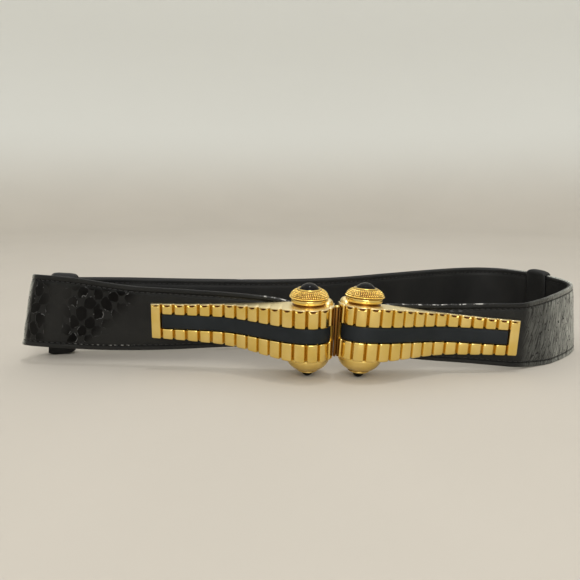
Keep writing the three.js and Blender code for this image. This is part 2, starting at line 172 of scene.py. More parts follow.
class Field:
    """A socket's value that varies over a surface."""

    def __init__(self, finish, socket):
        self.finish = finish
        self.socket = socket

    def maths(self, operation, *others):
        return self.finish.node("Math", {"operation": operation}, *others)

    def __add__(self, other):
        return self.maths("ADD", self, other)

    def __radd__(self, other):
        return self.maths("ADD", other, self)

    def __sub__(self, other):
        return self.maths("SUBTRACT", self, other)

    def __rsub__(self, other):
        return self.maths("SUBTRACT", other, self)

    def __mul__(self, other):
        return self.maths("MULTIPLY", self, other)

    def __rmul__(self, other):
        return self.maths("MULTIPLY", other, self)

    def __pow__(self, other):
        return self.maths("POWER", self, other)

    def fraction(self):
        return self.maths("FRACT", self)

    def sine(self):
        return self.maths("SINE", self)

    def step(self, low, high):
        """Smooth rise from 0 at low to 1 at high."""
        settings = {"interpolation_type": "SMOOTHSTEP"}
        return self.finish.node("MapRange", settings, self, low, high, 0.0, 1.0)


class Finish:
    """A material under one Principled shader, with uniform values set on its own sockets."""

    def __init__(self, name, **uniform):
        self.material = bpy.data.materials.new(name)
        self.material.use_nodes = True
        self.tree = self.material.node_tree
        self.shader = self.tree.nodes["Principled BSDF"]
        for socket, value in uniform.items():
            self.shader.inputs[socket.replace("_", " ").title().replace("Ior", "IOR")].default_value = value

    def node(self, kind, settings=None, *values, output=0, **named):
        """Adds a node. Its settings come first, then its sockets by number or by name."""
        node = self.tree.nodes.new("ShaderNode" + kind)
        for key, value in (settings or {}).items():
            setattr(node, key, value)
        for key, value in [*enumerate(values), *named.items()]:
            if isinstance(value, Field):
                self.tree.links.new(value.socket, node.inputs[key])
            elif value is not None:
                node.inputs[key].default_value = value
        return Field(self, node.outputs[output])

    def mixed(self, share, first, second):
        """Colour that goes from first to second as share goes from 0 to 1."""
        not_for_colour = [None] * 5
        return self.node("Mix", {"data_type": "RGBA"}, share, *not_for_colour, first, second, output=2)

    def split(self, vector):
        """The X, Y and Z of a vector."""
        node = self.node("SeparateXYZ", {}, vector).socket.node
        return [Field(self, output) for output in node.outputs]

    def place(self):
        return self.node("TexCoord", output="Object")

    def noise(self, scale, detail=3.0, roughness=0.5):
        place = self.place()
        return self.node("TexNoise", {}, Vector=place, Scale=scale, Detail=detail, Roughness=roughness)

    def feed(self, socket, value):
        self.tree.links.new(value.socket, self.shader.inputs[socket])

    def bump(self, height, distance):
        self.feed("Normal", self.node("Bump", {}, Height=height, Distance=distance, Strength=1.0))


def grey(value, warm=1.0, cool=1.0):
    return (value * warm, value, value * cool, 1)


# Slow bends of the rows of scales: size, turns along the strap, turns up it, start
WARPS = ((0.10, 9.0, 1.7, 0.4), (0.09, 23.0, -1.1, 2.0))


def scale_lattice(along, up, length, width, sine):
    """The two diagonal counts of scales at a place on the strap, both given as shares.

    The scales shorten evenly from the left end to the right. The same sums give the raised scales of the
    mesh and the dark ones of the finish.
    """
    slow = length / scale_long_left
    quick = length / scale_long_right
    count = along * slow + along * along * ((quick - slow) / 2)
    rise = up * (width / scale_tall)
    bends = [sine(along * (turns * math.tau) + up * (lift * math.tau) + start) * size
             for size, turns, lift, start in WARPS]
    return count + rise + bends[0], count - rise + bends[1]


def attribute(finish, name):
    return finish.node("Attribute", {"attribute_name": name}, output="Fac")


def skin_finish(length, width):
    """Glossy black scales, bold in places, with a worn top edge; glints on scale rims and a pale flecked
    sheen at the bends are painted highlights.
    """
    finish = Finish("black snakeskin", specular_ior_level=0.08, coat_roughness=0.12)
    along, up, _ = finish.split(finish.node("UVMap", {"uv_map": "UVMap"}))
    first, second = scale_lattice(along, up, length, width, Field.sine)
    cloud = finish.noise(45.0, 3.0)
    cell = finish.noise(190.0, 2.0)
    fine = finish.noise(900.0, 4.0, 0.6)
    crease = finish.noise(260.0, 3.0, 0.6)
    shift = finish.noise(230.0, 1.0) - 0.5
    across = (first + shift * 0.55).fraction() - 0.5
    down = (second - shift * 0.45).fraction() - 0.5
    rim = (across * across + down * down) ** 0.5 + (cell - 0.5) * 0.45
    scale = 1 - rim.step(0.4, 0.5)
    rind = rim.step(0.42, 0.45) * (1 - rim.step(0.46, 0.5))
    bold = attribute(finish, "bold") * (0.35 + cloud * 1.3)
    seam = attribute(finish, "seam")
    # Painted sheen: the pale reflection at the bends, painted into the colour.
    sheen = attribute(finish, "sheen")
    worn = attribute(finish, "worn") * finish.noise(420.0, 3.0, 0.7).step(0.5, 0.6)
    lengthwise = along * (length * 1.2) + up * (width * 0.36)
    way = finish.node("CombineXYZ", {}, lengthwise, up * (width * 0.1), 0.0)
    streak = finish.node("TexNoise", {}, Vector=way, Scale=1.0, Detail=4.0, Roughness=0.65)
    notch = streak.step(0.38, 0.46)
    plain = finish.mixed(cloud.step(0.3, 0.7), grey(0.0075, 0.95), grey(0.011, 0.97, 0.95))
    dark = finish.mixed(bold * scale, plain, grey(0.0007))
    # Painted highlight: thin pale glints on the rims of some bold scales.
    glint = rind * bold * finish.noise(190.0, 3.0, 0.7).step(0.57, 0.62)
    scales = finish.mixed(glint, dark, grey(0.12))
    speck = finish.noise(620.0, 1.0).step(0.64, 0.68)
    # Painted reflection: pale flecked streaks where the face turns at the bends, broken by dark specks.
    shine = sheen * streak.step(0.3, 0.7) * (0.12 + notch * 0.88) * (1 - speck)
    glossy = finish.mixed(shine, scales, grey(1.0, 0.98, 0.9))
    stitched = finish.mixed(seam * 0.9, glossy, grey(0.001))
    finish.feed("Base Color", finish.mixed(worn, stitched, grey(0.5, 1.02, 0.95)))
    finish.feed("Roughness", 0.3 + fine * 0.14 + cloud * 0.12 + seam * 0.25 - bold * scale * 0.12)
    finish.feed("Coat Weight", 0.32 - bold * (0.12 + scale * 0.18) - seam * 0.3)
    height = scale * (bold * 0.6 + 0.3) + crease * 0.4 + fine * 0.12 + notch * sheen * 0.6
    finish.bump(height, 0.00022)
    return finish.material


def lining_finish():
    """Smooth leather with a very fine grain."""
    finish = Finish("smooth black leather", specular_ior_level=0.22)
    grain = finish.node("TexVoronoi", {}, Vector=finish.place(), Scale=1700.0)
    soft = finish.noise(55.0, 3.0)
    fine = finish.noise(700.0, 4.0, 0.65)
    finish.feed("Base Color", finish.mixed(soft.step(0.3, 0.7), grey(0.009), grey(0.014, 1.0, 0.95)))
    finish.feed("Roughness", 0.4 + soft * 0.16 + fine * 0.08)
    finish.bump(grain * 0.5 + fine * 0.5, 0.00006)
    return finish.material


def thread_finish():
    """Black thread, painted pale here and there in the lower row near the fold: a painted highlight."""
    finish = Finish("waxed thread", specular_ior_level=0.4)
    # Painted highlight: pale patches on the thread; the same mask also makes the thread rougher there.
    worn = finish.noise(420.0, 2.0).step(0.46, 0.58)
    across, _, height = finish.split(finish.place())
    starts, ends, low = THREAD_HIGHLIGHT_PLACES
    near_fold = across.step(*starts) * (1 - across.step(*ends))
    share = worn * near_fold * (1 - height.step(*low))
    finish.feed("Base Color", finish.mixed(share, grey(0.008), grey(0.32, 1.02, 0.95)))
    finish.feed("Roughness", 0.45 + worn * 0.2)
    return finish.material


def gold_finish(name, roughness, grain):
    """Plated metal with painted shade, darker and redder, in its grooves, creases and crevices; its satin
    top plates are rougher, and their paler colour is a painted highlight of the light from above.
    """
    finish = Finish(name, metallic=1.0)
    # The groove mark is the share of painted shade: grooves, creases, the channel and the crevices under
    # the plates.
    groove = attribute(finish, "groove")
    satin = attribute(finish, "satin")
    cloud = finish.noise(90.0, 3.0)
    fine = finish.noise(1500.0, 3.0, 0.6)
    plate = finish.mixed(cloud.step(0.3, 0.75), (0.8, 0.57, 0.15, 1), (0.87, 0.65, 0.23, 1))
    # Partly painted highlight: the satin top plates are rougher, and their paler colour stands in for the
    # light from above.
    pale = finish.mixed(satin * 0.7, plate, (0.9, 0.8, 0.53, 1))
    # Painted shade: darker, redder gold where the groove mark is high, near black in the crevices under the
    # plates.
    deep = finish.mixed(groove.step(0.0, 0.6), pale, (0.55, 0.34, 0.06, 1))
    finish.feed("Base Color", finish.mixed(groove.step(0.5, 1.0), deep, (0.1, 0.026, 0.012, 1)))
    finish.feed("Roughness", roughness + cloud * 0.08 + groove * 0.2 + satin * 0.22)
    finish.bump(fine + cloud * 1.5, grain)
    return finish.material


def slate_finish():
    """Dark, faintly blue stone with a satin face."""
    finish = Finish("satin slate", specular_ior_level=0.2)
    cloud = finish.noise(70.0, 3.0).step(0.3, 0.7)
    fine = finish.noise(1200.0, 4.0, 0.6)
    colour = finish.mixed(cloud, (0.008, 0.011, 0.013, 1), (0.012, 0.015, 0.018, 1))
    finish.feed("Base Color", colour)
    finish.feed("Roughness", 0.42 + fine * 0.12)
    finish.bump(fine, 0.00002)
    return finish.material


def onyx_finish():
    """Black polished stone."""
    finish = Finish("polished onyx", specular_ior_level=0.13)
    cloud = finish.noise(300.0, 2.0)
    finish.feed("Base Color", finish.mixed(cloud, grey(0.0008), grey(0.002)))
    finish.feed("Roughness", 0.04 + cloud * 0.03)
    return finish.material


# Modelling helpers


def active(name):
    """The active object under a new name."""
    piece = bpy.context.active_object
    piece.name = name
    piece.data.name = name
    return piece


def edit(piece, how):
    """Runs one edit-mode job on a piece with all of its mesh selected."""
    bpy.ops.object.select_all(action="DESELECT")
    piece.select_set(True)
    bpy.context.view_layer.objects.active = piece
    bpy.ops.object.mode_set(mode="EDIT")
    bpy.ops.mesh.select_all(action="SELECT")
    how()
    bpy.ops.object.mode_set(mode="OBJECT")
    return piece


def closed():
    """Joins a wrapped sheet's meeting edges, closes its two open ends and turns its faces out."""
    bpy.ops.mesh.remove_doubles(threshold=0.002)
    bpy.ops.mesh.fill_holes(sides=0)
    bpy.ops.mesh.select_all(action="SELECT")
    bpy.ops.mesh.normals_make_consistent(inside=False)


def wrapped(name, points, **attributes):
    """A grid laid over rows of points. Each row is one section right round, in millimetres."""
    columns, rows = points.shape[0] - 1, points.shape[1] - 1
    bpy.ops.mesh.primitive_grid_add(x_subdivisions=columns, y_subdivisions=rows, size=1)
    piece = active(name)
    flat = np.empty(len(piece.data.vertices) * 3)
    piece.data.vertices.foreach_get("co", flat)
    flat = flat.reshape(-1, 3)
    column = np.rint((flat[:, 0] + 0.5) * columns).astype(int)
    row = np.rint((flat[:, 1] + 0.5) * rows).astype(int)
    piece.data.vertices.foreach_set("co", points[column, row].ravel())
    for key, values in attributes.items():
        layer = piece.data.attributes.new(key, "FLOAT", "POINT")
        layer.data.foreach_set("value", values[column, row].astype(np.float32))
    piece.data.update()
    return edit(piece, closed)


def turned(name, outline, steps=96):
    """A turned body: rows of radius and height from the axis back to the axis, spun round it."""
    mesh = bpy.data.meshes.new(name)
    mesh.from_pydata([(radius, 0, height) for radius, height in outline],
                     [(i, i + 1) for i in range(len(outline) - 1)], [])
    piece = bpy.data.objects.new(name, mesh)
    bpy.context.scene.collection.objects.link(piece)

    def spin():
        bpy.ops.mesh.spin(steps=steps, angle=math.tau, center=(0, 0, 0), axis=(0, 0, 1))
        bpy.ops.mesh.select_all(action="SELECT")
        bpy.ops.mesh.remove_doubles(threshold=0.003)
        bpy.ops.mesh.normals_make_consistent(inside=False)

    return edit(piece, spin)


def repeated(name, model, places):
    """Copies of a small model, each turned and moved by its own matrix, as one mesh."""
    base = np.array([v.co[:] for v in model.data.vertices])
    faces = [tuple(face.vertices) for face in model.data.polygons]
    points = []
    shells = []
    for number, place in enumerate(places):
        matrix = np.array(place)
        points.append(base @ matrix[:3, :3].T + matrix[:3, 3])
        shells += [tuple(v + number * len(base) for v in face) for face in faces]
    mesh = bpy.data.meshes.new(name)
    mesh.from_pydata(np.concatenate(points).tolist(), [], shells)
    piece = bpy.data.objects.new(name, mesh)
    bpy.context.scene.collection.objects.link(piece)
    bpy.data.objects.remove(model)
    return piece


def marked(piece, name, value_at):
    """Gives a piece a point attribute worked out from each vertex's place."""
    layer = piece.data.attributes.new(name, "FLOAT", "POINT")
    layer.data.foreach_set("value", [float(value_at(v.co)) for v in piece.data.vertices])
    return piece


def joined(name, *pieces):
    """Several pieces of the same soldered or sewn thing as one mesh."""
    bpy.ops.object.select_all(action="DESELECT")
    for piece in pieces:
        piece.select_set(True)
    bpy.context.view_layer.objects.active = pieces[0]
    bpy.ops.object.join()
    return active(name)


def settled(piece, material, replaces=(), place=None, angle=40):
    """Puts a finished piece in the frame, in metres, with its finish, its body and what it stands for."""
    matrix = Matrix.Scale(MM, 4) if place is None else Matrix.Scale(MM, 4) @ place
    piece.data.transform(matrix)
    if matrix.determinant() < 0:
        piece.data.flip_normals()
    piece.data.materials.clear()
    piece.data.materials.append(material)
    bpy.ops.object.select_all(action="DESELECT")
    piece.select_set(True)
    bpy.context.view_layer.objects.active = piece
    bpy.ops.object.shade_smooth_by_angle(angle=math.radians(angle))
    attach(piece, BODY)
    if replaces:
        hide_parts(*replaces)
    return piece


def curve_through(points, knots, places):
    """Smooth curve through points at their knots, read at many places."""
    slopes = np.gradient(points, knots, axis=0)
    i = np.clip(np.searchsorted(knots, places) - 1, 0, len(knots) - 2)
    span = (knots[i + 1] - knots[i])[:, None]
    share = ((places - knots[i])[:, None]) / span
    square, cube = share ** 2, share ** 3
    return (
        points[i] * (2 * cube - 3 * square + 1)
        + slopes[i] * span * (cube - 2 * square + share)
        + points[i + 1] * (3 * square - 2 * cube)
        + slopes[i + 1] * span * (cube - square)
    )


def unit(vectors):
    return vectors / np.linalg.norm(vectors, axis=-1, keepdims=True)


def smooth_step(values, low, high):
    share = np.clip((values - low) / (high - low), 0, 1)
    return share * share * (3 - 2 * share)


# The strap's route, read from the frame


def corner_lines(node):
    """The four long corner lines of a band, in millimetres, from its clasp end on the left round to the
    right: outer low, outer high, inner low, inner high."""
    mesh = bmesh.new()
    mesh.from_mesh(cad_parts[node].data)
    bmesh.ops.remove_doubles(mesh, verts=mesh.verts, dist=1e-6)
    corner_angle = math.radians(50)
    sharp = {v: [e for e in v.link_edges if e.calc_face_angle(0) > corner_angle] for v in mesh.verts}
    corners = sorted((v for v in mesh.verts if len(sharp[v]) > 2), key=lambda v: v.co.x)
    lines = []
    for start in corners[:4]:
        line = [start]
        here = next(e.other_vert(start) for e in sharp[start] if len(sharp[e.other_vert(start)]) == 2)
        while len(sharp[here]) == 2:
            line.append(here)
            here = next(e.other_vert(here) for e in sharp[here] if e.other_vert(here) not in line[-2:])
        line.append(here)
        lines.append(np.array([v.co[:] for v in line]) / MM)
    mesh.free()
    lines.sort(key=lambda line: line[0][2])
    low = sorted(lines[:2], key=lambda line: line[0][1])
    high = sorted(lines[2:], key=lambda line: line[0][1])
    return low[0], high[0], low[1], high[1]


class Band:
    """A band's surface from its corner lines: any place along it, up it and into it."""

    def __init__(self, node):
        lines = corner_lines(node)
        middle = (lines[0] + lines[1]) / 2
        steps = np.linalg.norm(np.diff(middle, axis=0), axis=1)
        self.knots = np.concatenate([[0], np.cumsum(steps)])
        self.length = self.knots[-1]
        self.lines = lines
        self.width = float(np.linalg.norm(lines[1] - lines[0], axis=1).max())

    def sections(self, places):
        """Lower outer corners, ways up, widths and ways in, at distances along the band."""
        eased = []
        for line in self.lines:
            total = 0
            for shift, weight in ((-2, 1), (-1, 2), (0, 3), (1, 2), (2, 1)):
                near = np.clip(places + shift * route_ease, 0, self.length)
                total = total + weight / 9 * curve_through(line, self.knots, near)
            eased.append(total)
        low, high, inner, _ = eased
        up = high - low
        width = np.linalg.norm(up, axis=1, keepdims=True)
        return low, up / width, width, unit(inner - low)


# Outer skin


def waves(along, up):
    """Slight unevenness of leather, in millimetres."""
    return (
        0.16 * np.sin(along * 0.071 + up * 0.05)
        + 0.1 * np.sin(along * 0.19 - up * 0.13 + 1)
        + 0.05 * np.sin(along * 0.43 + up * 0.31 + 2)
    )


def boldness(along, share):
    """How strongly the scales stand out, from 0 to 1, at a share of the way up the strap."""
    total = 0
    for middle, foot_reach, top_reach, strength, lean in BOLD_PLACES:
        away = along - middle - lean * (share - 0.5)
        reach = foot_reach + (top_reach - foot_reach) * share
        total = total + strength * np.exp(-((away / reach) ** 4))
    return np.clip(total, 0, 1)


def scale_height(along, up, band):
    first, second = scale_lattice(along / band.length, up / band.width, band.length, band.width, np.sin)
    rim = np.hypot(np.mod(first, 1) - 0.5, np.mod(second, 1) - 0.5)
    dome = 1 - (rim / 0.6) ** 2
    return (1 - smooth_step(rim, 0.38, 0.54)) * (0.7 + 0.3 * dome)


def face_height(along, up, width, band):
    """How far the outer face stands out of the strap's plain face, in millimetres."""
    edge = np.minimum(up, width - up)
    pad = pad_height * smooth_step(edge, stitch_inset, stitch_inset + 5) - pad_height
    dent = -stitch_dent * np.exp(-(((edge - stitch_inset) / 0.55) ** 2))
    rounded = -edge_round * (1 - np.sqrt(np.clip(1 - (1 - np.clip(edge / edge_round, 0, 1)) ** 2, 0, 1)))
    calm = smooth_step(edge, stitch_inset * 0.3, stitch_inset * 1.4)
    scales = scale_relief * calm * (scale_height(along, up, band) - 1)
    return pad * 0.6 + dent + rounded + scales + waves(along, up) * smooth_step(edge, 0, 3)


def skin_points(band):
    """Sections of the skin, their distances along it and each row's share of the way up."""
    places = np.linspace(0, band.length, int(band.length / skin_step) + 1)
    low, up, width, inward = band.sections(places)
    shares = np.linspace(0, 1, skin_rows + 1)
    fine = edge_round / band.width * np.array([0.12, 0.35, 0.65])
    shares = np.sort(np.concatenate([shares, fine, 1 - fine]))
    rise = shares[None, :] * width
    out = face_height(places[:, None] + 0 * rise, rise, width, band)
    front = low[:, None] + up[:, None] * rise[..., None] - inward[:, None] * out[..., None]
    back_rows = []
    for share, depth in ((1, 0.75), (1, 1.1), (0.985, skin_depth), (0.5, skin_depth),
                         (0.015, skin_depth), (0, 1.1), (0, 0.75)):
        back_rows.append(low + up * width * share + inward * depth)
    back = np.stack(back_rows, axis=1)
    points = np.concatenate([front, back, front[:, :1]], axis=1)
    spread = np.concatenate([shares, [1, 1, 0.985, 0.5, 0.015, 0, 0, 0]])
    return points, places, spread


def lay_pattern(piece, spread):
    """Makes the upward part of the UV map the share of the band's width."""
    rows = len(spread) - 1
    layer = piece.data.uv_layers[0]
    values = np.empty(len(layer.data) * 2)
    layer.data.foreach_get("uv", values)
    values = values.reshape(-1, 2)
    values[:, 1] = np.interp(values[:, 1] * rows, np.arange(rows + 1), spread)
    layer.data.foreach_set("uv", values.ravel())
    layer.name = "UVMap"


def make_skin(band, material):
    """Padded snakeskin face with its scales, its stitched groove and the marks that its finish reads."""
    points, places, spread = skin_points(band)
    edge = np.minimum(spread, 1 - spread) * band.width
    calm = smooth_step(edge, stitch_inset, stitch_inset * 1.6)
    bold = boldness(places[:, None], spread) * calm
    seam = np.exp(-(((edge - stitch_inset) / 0.45) ** 2)) + 0 * places[:, None]
    inward = band.sections(places)[3]
    # Painted sheen: a pale reflection painted where the face turns sideways, round the right bend and at
    # the left fold.
    right_sheen = np.clip((-inward[:, :1] - 0.3) / 0.68, 0, 1) ** 1.8
    left_sheen = smooth_step(inward[:, :1], 0.5, 0.9) * 0.8
    sheen = np.maximum(right_sheen, left_sheen) + 0 * spread
    worn = 0 * places
    for start, reach in WORN_PLACES:
        middle = start if start > 0 else band.length + start
        worn = np.maximum(worn, 1 - smooth_step(np.abs(places - middle), reach * 0.8, reach))
    worn = worn[:, None] * (spread > 0.983)
    piece = wrapped("snakeskin_face", points, bold=bold, seam=seam, sheen=sheen, worn=worn)
    lay_pattern(piece, spread)
    return settled(piece, material, ["strap"], angle=60)


def make_lining(band, material):
    """Leather inside face with its own stitched groove."""
    places = np.linspace(0, band.length, int(band.length / lining_step) + 1)
    low, up, width, inward = band.sections(places)
    shares = np.linspace(0.012, 0.988, lining_rows + 1)
    rise = shares[None, :] * width
    edge = np.minimum(rise, width - rise)
    dent = stitch_dent * np.exp(-(((edge - lining_stitch_inset) / 0.6) ** 2))
    crown = lining_crown * smooth_step(edge, lining_stitch_inset, lining_stitch_inset + 4)
    depth = lining_depth - dent + crown + waves(places[:, None] + 40, rise) * 0.5 * smooth_step(edge, 0, 3)
    face = low[:, None] + up[:, None] * rise[..., None] + inward[:, None] * depth[..., None]
    rims = []
    for share, deep in ((1, lining_depth - lining_round), (1, 0.1), (0.5, 0), (0, 0.1),
                        (0, lining_depth - lining_round)):
        rims.append(low + up * width * share + inward * deep)
    points = np.concatenate([face, np.stack(rims, axis=1), face[:, :1]], axis=1)
    piece = wrapped("leather_lining", points)
    return settled(piece, material, ["strap_lining"], angle=60)


def stitch_places(band, inset, depth_at):
    """Where a row of stitches lies along a band, at an inset from one edge (negative from the top)."""
    places = np.arange(stitch_free_end, band.length - stitch_free_end, stitch_spacing)
    low, up, width, inward = band.sections(places)
    ahead = unit(band.sections(places + 1)[0] - band.sections(places - 1)[0])
    rise = inset if inset > 0 else width + inset
    depth = depth_at(places[:, None], rise + 0 * width, width)
    spots = low + up * rise + inward * depth
    found = []
    for spot, way, rising, into in zip(spots, ahead, up, inward):
        slant = Vector(way) + Vector(rising) * chance.uniform(-0.05, 0.16)
        slant.normalize()
        across = Vector(into).cross(slant).normalized()
        turn = Matrix((slant, across, slant.cross(across))).transposed().to_4x4()
        found.append(Matrix.Translation(Vector(spot)) @ turn)
    return found


def stitch_model():
    """One stitch, a few faces round, lying along X."""
    bpy.ops.mesh.primitive_uv_sphere_add(segments=6, ring_count=5, radius=1)
    model = active("stitch")
    model.data.transform(Matrix.Rotation(math.pi / 2, 4, "Y"))
    model.data.transform(Matrix.Diagonal((stitch_length / 2, stitch_radius, stitch_radius, 1)))
    return model


def make_stitches(skin_band, lining_band, material):
    """Two rows of stitches on each face of the strap."""

    def outer_depth(along, rise, width):
        return -face_height(along, rise, width, skin_band) - stitch_radius * 0.35

    def inner_depth(along, rise, width):
        return lining_depth - stitch_dent + stitch_radius * 0.5 + 0 * along

    for name, band, inset, depth_at, slot in (
            ("stitches_outer", skin_band, stitch_inset, outer_depth, "skin"),
            ("stitches_inner", lining_band, lining_stitch_inset, inner_depth, "lining")):
        places = stitch_places(band, inset, depth_at) + stitch_places(band, -inset, depth_at)
        settled(repeated(name, stitch_model(), places), material, angle=80)


# Keepers


def keeper_path(width, ground):
    """A keeper's way round the strap in depth and height, with the way out of the loop at each point."""
    front = -clearance - keeper_wall / 2
    back = skin_depth + lining_depth + clearance * 2 + keeper_wall / 2
    top = width + keeper_headroom + keeper_wall / 2
    bottom = ground + keeper_wall / 2
    low, high = bottom + keeper_corner, top - keeper_corner
    rows = ((back, high, 0), (front, high, 90), (front, low, 180), (back, low, 270))
    path = []
    for depth, height, start in rows:
        middle = depth - math.copysign(keeper_corner, depth)
        for i in range(6):
            turn = math.radians(start + 18 * i)
            way = (math.cos(turn), math.sin(turn))
            path.append((middle + keeper_corner * way[0], height + keeper_corner * way[1], *way))
        if start in (90, 270):
            further = low if start == 90 else high
            for share in (0.2, 0.4, 0.6, 0.8):
                path.append((depth, height + (further - height) * share, *way))
    return path + path[:1]


def make_keeper(name, band, slant, material):
    """A leather loop with rolled ends round the strap, its foot set along by slant from its top."""
    spots = vertices_of(name)
    places = np.linspace(0, band.length, 1200)
    low, up, width, _ = band.sections(places)
    middle = low + up * width / 2
    away = np.linalg.norm(middle[None, :, :2] - spots[:, None, :2], axis=2)
    centre = places[away.argmin(axis=1)].mean()
    half = keeper_wide / 2
    section = []
    for side in (1, -1):
        for along in np.linspace(-side, side, 21):
            thick = keeper_wall / 2 * math.sqrt(max(0.0, 1 - abs(along) ** 16))
            section.append((along * half, side * thick))
    section.append(section[0])
    table = []
    for offset, rise in section:
        shoulder = max(0.0, (abs(offset) - half + keeper_shoulder) / keeper_shoulder)
        droop = keeper_droop * (1 - math.sqrt(max(0.0, 1 - shoulder ** 2)))
        low, _, width, _ = band.sections(np.array([centre + offset]))
        row = []
        for depth, height, deep, high in keeper_path(float(width[0, 0]), -low[0][2]):
            along = centre + offset + slant * (1 - height / band.width)
            lows, ups, _, ins = (values[0] for values in band.sections(np.array([along])))
            thick = rise - droop * (high if high > 0 else -high * keeper_foot_droop)
            row.append(lows + ins * (depth + deep * thick) + ups * (height + high * thick))
        table.append(row)
    piece = wrapped(name + "_loop", np.array(table))
    return settled(piece, material, [name], angle=60)


# Clasp half


def half_height(u):
    """Half of the metal's height at a distance out along the arm."""
    shares, rises = zip(*ARM_RISE)
    rise = np.interp(u / arm_length, shares, rises)
    return arm_end_height / 2 + (drum_height - arm_end_height) / 2 * rise


# The front face in plan: a quarter of the drum from the seam, then the swell down to the flat arm
QUARTER = drum_radius * math.pi / 2
BAR_START = arm_length - end_bar_width
swell_u = np.linspace(0, arm_length, 1681)
swell_share = np.clip(swell_u / swell_length, 0, 1)
swell_v = arm_set_back - (drum_radius + arm_set_back) * (1 - swell_share ** 2 * (3 - 2 * swell_share))
swell_run = QUARTER + np.concatenate([[0], np.cumsum(np.hypot(np.diff(swell_u), np.diff(swell_v)))])
FACE_LENGTH = float(np.interp(BAR_START, swell_u, swell_run))
PITCH = FACE_LENGTH / rib_count


def on_face(distance):
    """Point of the front face in plan at a distance from the seam, and the way out of the metal."""
    if distance < QUARTER:
        angle = distance / drum_radius
        out = Vector((-math.cos(angle), -math.sin(angle)))
        return out * drum_radius, out
    u = float(np.interp(distance, swell_run, swell_u))
    v = float(np.interp(u, swell_u, swell_v))
    ahead = float(np.interp(u + 0.05, swell_u, swell_v))
    behind = float(np.interp(u - 0.05, swell_u, swell_v))
    slope = (ahead - behind) / (min(u + 0.05, arm_length) - max(u - 0.05, 0))
    return Vector((u, v)), Vector((slope, -1)).normalized()


# One rib from groove to groove: place as a share of the pitch, share of the groove's depth
RIB_SHAPE = (
    (0, 1), (0.025, 0.96), (0.05, 0.8), (0.078, 0.52), (0.105, 0.25), (0.135, 0.07), (0.17, 0), (0.25, 0),
    (0.34, 0), (0.43, 0), (0.5, 0), (0.57, 0), (0.65, 0), (0.74, 0), (0.84, 0), (0.87, 0.06), (0.9, 0.22),
    (0.928, 0.5), (0.953, 0.8), (0.977, 0.96),
)

# End bar from its groove outwards: distance past the ribs, share of the groove's depth
BAR_SHAPE = (
    (0, 1), (0.14, 0.95), (0.3, 0.7), (0.47, 0.35), (0.66, 0.1), (0.9, 0), (2.2, 0), (3.2, 0), (4.6, 0),
    (5.1, 0.05), (5.35, 0.15), (end_bar_width, 0.4),
)

# Scooped top end of a rib: distance below the top plate, share of the scoop's depth, strength of its shade
SCOOP_ROWS = ((1.3, 0, 0), (0.95, 0.05, 0), (0.8, 0.35, 0.6), (0.6, 0.85, 2.5), (0.1, 1, 2.5))


def rib_columns():
    """Distances from the seam, with the groove's share there, the face's height and the scoop's share."""
    columns = []
    for rib in range(rib_count):
        tilt = chance.uniform(-0.12, 0.12)
        lift = chance.uniform(-0.06, 0.06)
        for place, groove in RIB_SHAPE:
            if rib == 0 and place < 0.5:
                groove = 0
            crown = rib_crown * (1 - (2 * place - 1) ** 2) + tilt * (place - 0.5) + lift
            scoop = max(0.0, 1 - ((place - 0.52) / 0.26) ** 2) if rib else 0.0
            columns.append(((rib + place) * PITCH, groove, crown, scoop))
    for beyond, groove in BAR_SHAPE:
        scoop = max(0.0, 1 - ((beyond - 3.0) / 1.6) ** 2)
        columns.append((FACE_LENGTH + beyond, groove, rib_crown * 0.8, scoop))
    columns += [(seam_lip - 0.03, 0, 0, 0), (seam_lip + 0.03, 0, 0, 0), (FACE_LENGTH - 0.03, 1, 0, 0),
                (FACE_LENGTH + 0.03, 1, 0, 0)]
    return sorted(columns)


def pocket_floor(u):
    """Depth of the hollow behind the drum, or the plain back where there is none."""
    back = arm_set_back + arm_thickness
    inner = drum_radius - pocket_depth
    if u <= -inner or u > pocket_reach:
        return back
    if u < 0:
        return -math.sqrt(inner * inner - u * u)
    return float(np.interp(u, swell_u, swell_v)) + pocket_depth


